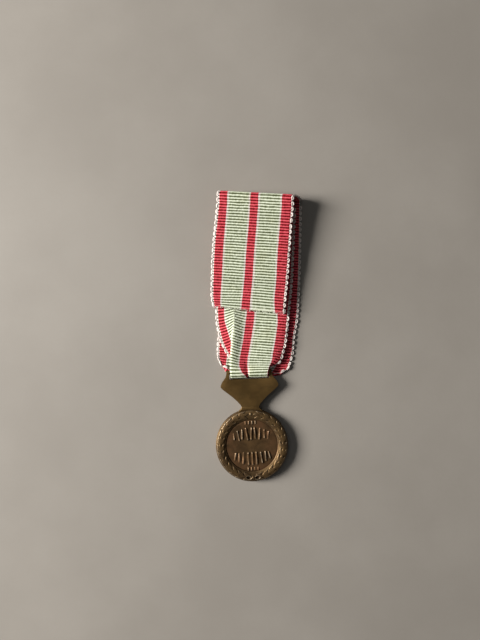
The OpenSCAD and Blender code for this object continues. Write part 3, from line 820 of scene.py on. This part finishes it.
def cloth_material():
    g = Graph("striped_grosgrain")
    t, r = g.attr("strip_t"), g.attr("rib")
    cell = g.math("FLOOR", r)
    # a stripe's edge steps a little from rib to rib, as its end yarns crowd or spread
    wander = g.noise(g.vec(g.math("MULTIPLY", t, 2.2), g.math("MULTIPLY", r, 1.3), 4.0), 1.0, 2.0)
    t2 = g.math("MULTIPLY_ADD", g.math("SUBTRACT", wander, 0.5), 0.14, t)
    place = g.math("MULTIPLY_ADD", t2, 1 / 16, 0.5)
    colour = g.ramp(place, [(max(0.0, s / 16 + 0.5), c) for s, c in STRIPES], "CONSTANT")
    pale = g.ramp(place, [(max(0.0, s / 16 + 0.5), 1.0 if c is WHITE else 0.0) for s, c in STRIPES], "CONSTANT")
    crimson = g.ramp(place, [(max(0.0, s / 16 + 0.5), 1.0 if c is RED else 0.0) for s, c in STRIPES], "CONSTANT")
    # yarns: each warp end has its own tone, and it drifts along the strip
    yarn = g.math("FLOOR", g.math("MULTIPLY_ADD", g.math("SUBTRACT", g.noise(g.vec(t, r, 1.0), 1.6, 1.0), 0.5), 0.6,
                                  g.math("MULTIPLY", t, 7.0)))
    tone = g.white(g.vec(yarn, g.math("FLOOR", g.math("MULTIPLY", r, 0.34)), 2.0))
    slub = g.noise(g.vec(g.math("MULTIPLY", t, 3.0), g.math("MULTIPLY", r, 0.5), 7.0), 1.0, 3.0, 0.6)
    rib_tone = g.white(g.vec(cell, 0.0, 5.0))
    value = g.math("MULTIPLY_ADD", tone, 0.10, 0.90)
    value = g.math("MULTIPLY", value, g.math("MULTIPLY_ADD", slub, 0.22, 0.88))
    value = g.math("MULTIPLY", value, g.math("MULTIPLY_ADD", rib_tone, 0.09, 0.945))
    colour = g.mix(1.0, colour, g.vec(value, value, value), "MULTIPLY")
    # painted shade: each rib is painted darker down its sides and darkest in the gaps between ribs
    f = g.math("FRACT", r)
    away = g.math("MULTIPLY", g.math("ABSOLUTE", g.math("SUBTRACT", f, 0.5)), 2.0)
    uneven = g.noise(g.vec(g.math("MULTIPLY", t, 3.4), g.math("MULTIPLY", g.math("FLOOR", g.math("ADD", r, 0.5)), 5.1), 9.0), 1.0, 2.0)
    away = g.math("MULTIPLY_ADD", g.math("SUBTRACT", uneven, 0.5), 0.75, away)
    gap = g.ease(away, 0.16, 0.84)
    # deep is the painted shade colour for the gaps between ribs
    deep = g.mix(1.0, g.gamma(colour, 1.7), (0.098, 0.107, 0.055, 1), "MULTIPLY")
    painted_flank_shade = g.mix(1.0, g.gamma(colour, 1.35), (0.97, 1.0, 0.93, 1), "MULTIPLY")
    colour = g.mix(g.ease(away, 0.0, 0.55), colour, painted_flank_shade)
    # the painted gap shade is weaker on the thicker white yarns beside each stripe, under the painted crease highlight
    # and at the brushed-out cut end
    open_gap = g.math("MULTIPLY_ADD", pale, -0.26, 0.98)
    patchy = g.noise(g.vec(g.math("MULTIPLY", t, 4.5), g.math("MULTIPLY", r, 2.6), 15.0), 1.0, 3.0, 0.65)
    crease_highlight_and_fray = g.math("MULTIPLY", g.attr("crease_highlight_and_fray"), g.math("MULTIPLY_ADD", g.ease(patchy, 0.36, 0.62), 0.65, 0.35))
    open_gap = g.math("MULTIPLY", open_gap, g.math("MULTIPLY_ADD", crease_highlight_and_fray, -0.8, 1.0))
    colour = g.mix(g.math("MULTIPLY", gap, open_gap), colour, deep)
    # crimson stripes: a rib's crest is painted pink as a highlight, and painted shade deepens quickly down its sides
    down = g.math("MULTIPLY", away, g.math("MULTIPLY_ADD", crease_highlight_and_fray, -0.6, 1.0))
    painted_red_crest_and_shade = g.ramp(down, [(0.0, lin(244, 116, 126)), (0.3, lin(230, 82, 93)), (0.58, lin(174, 34, 43)), (0.84, lin(98, 3, 8)),
                          (1.0, lin(78, 1, 4))])
    colour = g.mix(crimson, colour, g.mix(1.0, painted_red_crest_and_shade, g.vec(value, value, value), "MULTIPLY"))
    # painted highlight along the crease of the gather, and the paler brushed-out cut end
    colour = g.mix(g.math("MULTIPLY", crease_highlight_and_fray, 0.22), colour, lin(244, 240, 224))
    # age: faint yellowed patches
    age = g.noise(g.vec(g.math("MULTIPLY", t, 0.22), g.math("MULTIPLY", r, 0.12), 11.0), 1.0, 3.0, 0.55)
    colour = g.mix(g.math("MULTIPLY", g.ease(age, 0.5, 0.72), 0.35), colour, g.mix(1.0, colour, (0.93, 0.88, 0.74, 1), "MULTIPLY"))
    # warp yarns run over each rib side by side, half a yarn out of step from rib to rib
    shift = g.math("MULTIPLY", g.math("FRACT", g.math("MULTIPLY", cell, 0.5)), 6.283)
    ends = g.math("SINE", g.math("ADD", g.math("MULTIPLY", t, 2 * math.pi / 0.15), shift))
    fuzz = g.noise(g.vec(g.math("MULTIPLY", t, 30.0), g.math("MULTIPLY", r, 9.0), 3.0), 1.0, 3.0, 0.7)
    height = g.math("MULTIPLY_ADD", ends, 0.35, fuzz)
    g.set(Base_Color=colour, Roughness=g.math("MULTIPLY_ADD", fuzz, 0.2, 0.66),
          Normal=g.bump(height, 0.55, 0.022))
    g.bsdf.inputs["Sheen Weight"].default_value = 0.03
    g.bsdf.inputs["Sheen Roughness"].default_value = 0.45
    g.bsdf.inputs["Specular IOR Level"].default_value = 0.14
    return g.mat


def yarn_material(name, base, dark):
    """White picot yarn or sewing thread: plied, slightly fuzzy, toned from loop to loop."""
    g = Graph(name)
    at = g.mm()
    own = g.attr("yarn")
    ply = g.noise(at, 9.0, 3.0, 0.65, 0.6)
    colour = g.mix(g.ease(ply, 0.3, 0.68), dark, base)
    tone = g.math("MULTIPLY_ADD", g.white(g.vec(own, 3.0, 1.0)), 0.12, 0.90)
    colour = g.mix(1.0, colour, g.vec(tone, tone, tone), "MULTIPLY")
    g.set(Base_Color=colour, Roughness=g.math("MULTIPLY_ADD", ply, 0.2, 0.62), Normal=g.bump(ply, 0.6, 0.03))
    g.bsdf.inputs["Sheen Weight"].default_value = 0.15
    g.bsdf.inputs["Specular IOR Level"].default_value = 0.3
    return g.mat


def bronze_material(name, deep, body, bright, relief, metallic=0.82, rough=0.44, red=None):
    """Aged bronze. relief is "curve" for the struck relief or "wear" for eased edges."""
    g = Graph(name)
    at = g.mm()
    cloud = g.noise(at, 0.42, 4.0, 0.6, 0.4)
    blotch = g.noise(at, 1.9, 4.0, 0.62)
    grain = g.noise(at, 14.0, 3.0, 0.6)
    speck = g.noise(at, 46.0, 2.0, 0.6)
    colour = g.mix(g.ease(cloud, 0.32, 0.68), deep, body)
    if red is not None:
        colour = g.mix(g.math("MULTIPLY", g.attr("field"), g.ease(cloud, 0.25, 0.8)), colour, red)
    colour = g.mix(g.math("MULTIPLY", g.ease(blotch, 0.5, 0.74), 0.5), colour,
                   g.mix(1.0, colour, (0.72, 0.78, 0.70, 1), "MULTIPLY"))
    shade = g.math("MULTIPLY_ADD", grain, 0.34, 0.82)
    colour = g.mix(1.0, colour, g.vec(shade, shade, shade), "MULTIPLY")
    if relief == "curve":
        c = g.attr("curve")
        worn = g.math("MULTIPLY", g.ease(c, 0.012, 0.075), g.ease(g.math("ADD", grain, blotch), 0.75, 1.15))
        hollow = g.ease(g.math("MULTIPLY", c, -1.0), 0.004, 0.06)
        colour = g.mix(g.math("MULTIPLY", hollow, 0.75), colour, g.mix(1.0, colour, (0.34, 0.29, 0.22, 1), "MULTIPLY"))
    else:
        worn = g.math("MULTIPLY", g.attr("wear"), g.ease(g.math("ADD", grain, blotch), 0.8, 1.3))
    colour = g.mix(g.math("MULTIPLY", worn, 0.42), colour, bright)
    # fine handling scratches in two directions
    s1 = g.noise(g.mm((0.5, 9.0, 3.0)), 1.0, 3.0, 0.7)
    s2 = g.noise(g.mm((7.0, 0.9, 3.0)), 1.0, 3.0, 0.7)
    scratch = g.math("ADD", g.ease(s1, 0.60, 0.74), g.ease(s2, 0.62, 0.76))
    colour = g.mix(g.math("MULTIPLY", scratch, 0.10), colour, bright)
    r = g.math("MULTIPLY_ADD", blotch, 0.24, rough - 0.10)
    r = g.math("MULTIPLY_ADD", worn, -0.10, r)
    height = g.math("ADD", g.math("MULTIPLY", grain, 0.7), g.math("MULTIPLY_ADD", scratch, -0.5, g.math("MULTIPLY", speck, 0.35)))
    g.set(Base_Color=colour, Roughness=r, Normal=g.bump(height, 0.5, 0.016))
    g.bsdf.inputs["Metallic"].default_value = metallic
    g.bsdf.inputs["Specular IOR Level"].default_value = 0.4
    return g.mat


cloth_mat = cloth_material()
picot_mat = yarn_material("picot_yarn", lin(250, 240, 232), lin(196, 178, 170))
thread_mat = yarn_material("sewing_thread", lin(236, 230, 210), lin(160, 150, 128))
disc_mat = bronze_material("struck_bronze", lin(80, 60, 37), lin(108, 84, 52), lin(204, 186, 158), "curve",
                           metallic=0.74, rough=0.49, red=lin(112, 77, 52))
plate_mat = bronze_material("plate_bronze", lin(100, 77, 43), lin(116, 89, 50), lin(168, 142, 98), "wear", rough=0.5)
braze_mat = bronze_material("braze", lin(92, 70, 39), lin(116, 89, 50), lin(172, 144, 98), "wear", rough=0.5)

for obj, mat, slot, body in (
    (ribbon_cloth, cloth_mat, "ribbon_cloth", "ribbon"),
    (ribbon_picots, picot_mat, "ribbon_cloth", "ribbon"),
    (end_fray, cloth_mat, "ribbon_cloth", "ribbon"),
    (tack_thread, thread_mat, "thread", "ribbon"),
    (tail_cloth, cloth_mat, "ribbon_cloth", None),
    (tail_picots, picot_mat, "ribbon_cloth", None),
    (tail_fray, cloth_mat, "ribbon_cloth", "tail"),
    (disc, disc_mat, "aged_bronze", "medal"),
    (plate, plate_mat, "plate_bronze", "medal"),
    (fillet, braze_mat, "braze", "medal"),
):
    obj.data.materials.clear()
    obj.data.materials.append(mat)
    if body:
        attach(obj, body)

# direction from the crease along the tail, not used below; the tail's cloth and picot loops get their transforms
# applied and stay unattached
along_tail = rows[-1].mean(0) - CREASE
along_tail /= np.linalg.norm(along_tail)
for obj in (tail_cloth, tail_picots):
    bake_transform(obj)

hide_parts("ribbon_front", "ribbon_slot_loop", "ribbon_back_return")
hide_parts("ribbon_top_fold", "ribbon_tail")
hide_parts("tacking_stitches")
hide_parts("medal_disc")
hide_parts("suspension_plate")
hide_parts("braze_fillet")


# ---------------------------------------------------------------- floor, light and camera
def floor_material():
    g = Graph("pale_floor")
    at = g.mm()
    soft = g.noise(at, 0.03, 4.0, 0.55)
    fine = g.noise(at, 1.4, 3.0, 0.6)
    colour = g.mix(g.ease(soft, 0.3, 0.7), lin(144, 137, 128), lin(153, 146, 137))
    colour = g.mix(g.math("MULTIPLY", fine, 0.10), colour, lin(124, 114, 102))
    g.set(Base_Color=colour, Roughness=0.75, Normal=g.bump(fine, 0.2, 0.03))
    return g.mat


FLOOR = 900.0
fl = make_mesh("floor", [(-FLOOR, -FLOOR, 0), (FLOOR, -FLOOR, 0), (FLOOR, FLOOR, 0), (-FLOOR, FLOOR, 0)], [(0, 1, 2, 3)])
fl.data.materials.append(floor_material())

scene = bpy.context.scene
scene.view_settings.view_transform = "Standard"
world = bpy.data.worlds.new("soft_room")
scene.world = world
world.use_nodes = True
bg = world.node_tree.nodes["Background"]
bg.inputs[0].default_value = (0.93, 0.97, 1.0, 1)
bg.inputs[1].default_value = 0.065


def area(name, size, power, azimuth, elevation, distance, colour):
    """Soft square light; azimuth 180 is from the left, 90 from the top of the view."""
    data = bpy.data.lights.new(name, "AREA")
    data.shape, data.size, data.energy, data.color = "SQUARE", size, power, colour
    obj = bpy.data.objects.new(name, data)
    a, e = math.radians(azimuth), math.radians(elevation)
    way = Vector((math.cos(a) * math.cos(e), math.sin(a) * math.cos(e), math.sin(e)))
    obj.location = way * distance
    obj.rotation_mode = "QUATERNION"
    obj.rotation_quaternion = way.to_track_quat("Z", "Y")
    bpy.context.collection.objects.link(obj)
    return obj


area("window_light", 0.17, 4.6, 172, 27, 0.45, (1.0, 0.99, 0.97))
area("top_fill", 0.4, 0.26, 128, 58, 0.7, (0.98, 0.99, 1.0))

cam = bpy.data.cameras.new("camera")
cam.sensor_fit, cam.sensor_width, cam.lens = "AUTO", 24.0, 18.04
cam.clip_start, cam.clip_end = 0.001, 20.0
cam_obj = bpy.data.objects.new("camera", cam)
cam_obj.location = ((DISC[0] - 1.302) * MM, (DISC[1] + 24.39) * MM, 94.5 * MM)
cam_obj.rotation_euler = (0, 0, math.radians(-2.4))
bpy.context.collection.objects.link(cam_obj)
scene.camera = cam_obj
